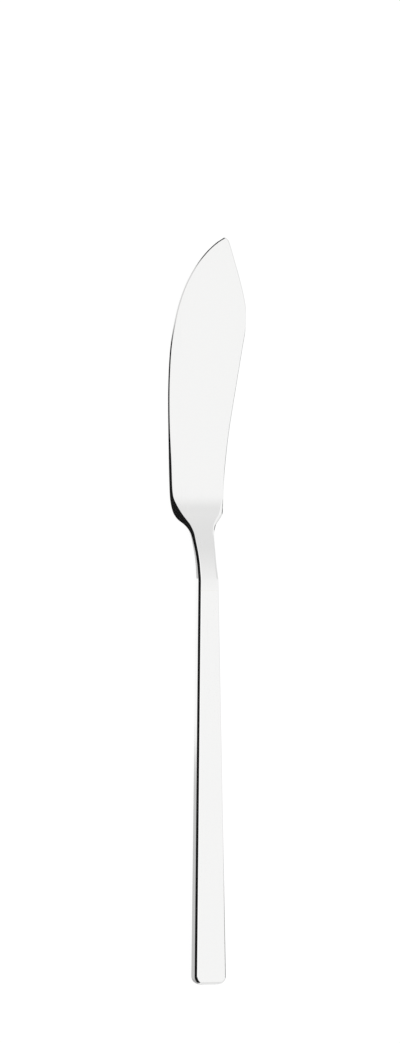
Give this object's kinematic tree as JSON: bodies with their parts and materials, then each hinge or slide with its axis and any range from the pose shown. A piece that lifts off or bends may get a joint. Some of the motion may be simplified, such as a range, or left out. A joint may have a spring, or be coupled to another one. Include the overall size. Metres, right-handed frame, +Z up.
{
  "type": "fish knife",
  "caption": "Slim table fish knife in polished steel, with a flat humped blade, a waisted neck and a tapered hollow handle.",
  "frame": {"origin": "on the table, below the middle of the knife's box, as it lies on its back", "axes": "+Y along the knife to its tip, +X to the spine side, -X to the serving edge, +Z up from the table"},
  "size_m": [0.0232, 0.21, 0.0044],
  "materials": {
    "blade_steel": "polished",
    "handle_steel": "polished",
    "silver_braze": "polished",
    "cement": "matte"
  },
  "bodies": {
    "root": {"blade": "blade_steel", "handle_front_shell": "handle_steel", "handle_back_shell": "handle_steel", "handle_seam_braze": "silver_braze", "neck_braze": "silver_braze", "tang_cement": "cement"}
  },
  "joints": []
}
